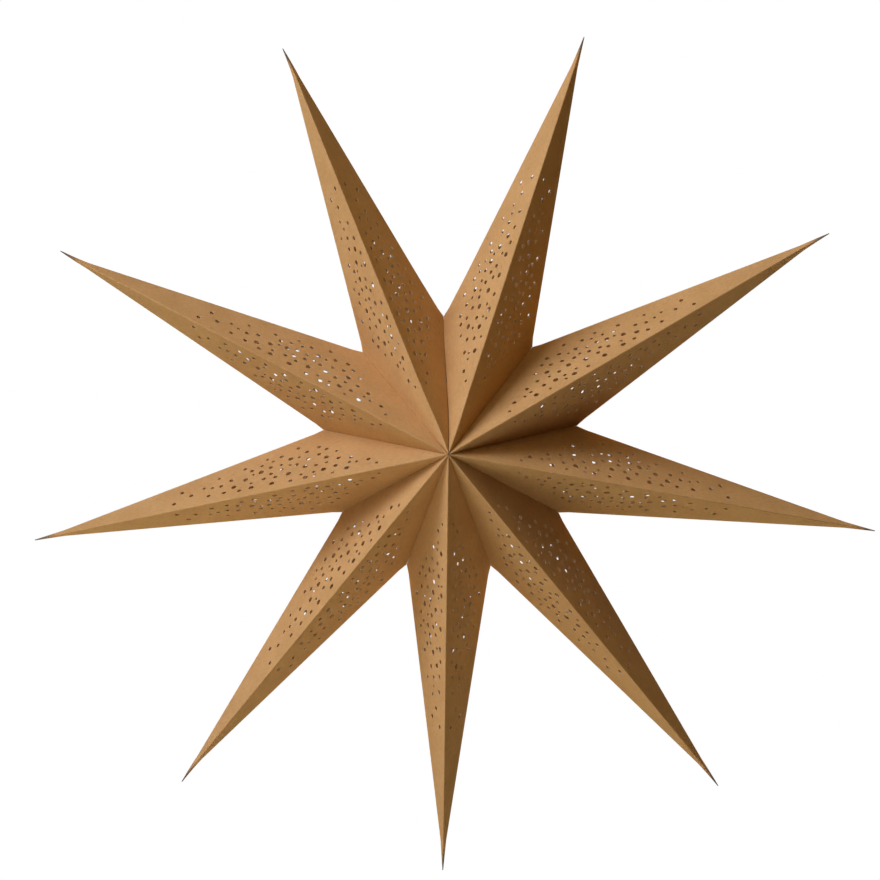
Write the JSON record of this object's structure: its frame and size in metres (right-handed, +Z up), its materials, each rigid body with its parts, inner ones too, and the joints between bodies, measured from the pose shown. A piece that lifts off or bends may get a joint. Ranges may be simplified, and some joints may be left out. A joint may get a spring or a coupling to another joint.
{
  "type": "folded paper star lamp shade",
  "caption": "Hanging star shade of hollow folded card rays, glued side by side, with punched round light holes and a fastened seam at the top.",
  "frame": {"origin": "centre of the star, in the middle plane where the side folds lie", "axes": "+Y along the star's axis from its front to its back, +Z up as it hangs, +X to the right seen from the front"},
  "size_m": [0.5944, 0.1596, 0.5909],
  "materials": {
    "card": "matt natural brown card",
    "pad": "short woven pile"
  },
  "bodies": {
    "root": {"ray_1": "card", "ray_2": "card", "ray_3": "card", "ray_4": "card", "ray_5": "card", "ray_6": "card", "ray_7": "card", "ray_8": "card", "ray_9": "card", "seam_hook_pad_front": "pad", "seam_loop_pad_front": "pad", "seam_hook_pad_back": "pad", "seam_loop_pad_back": "pad"}
  },
  "joints": []
}
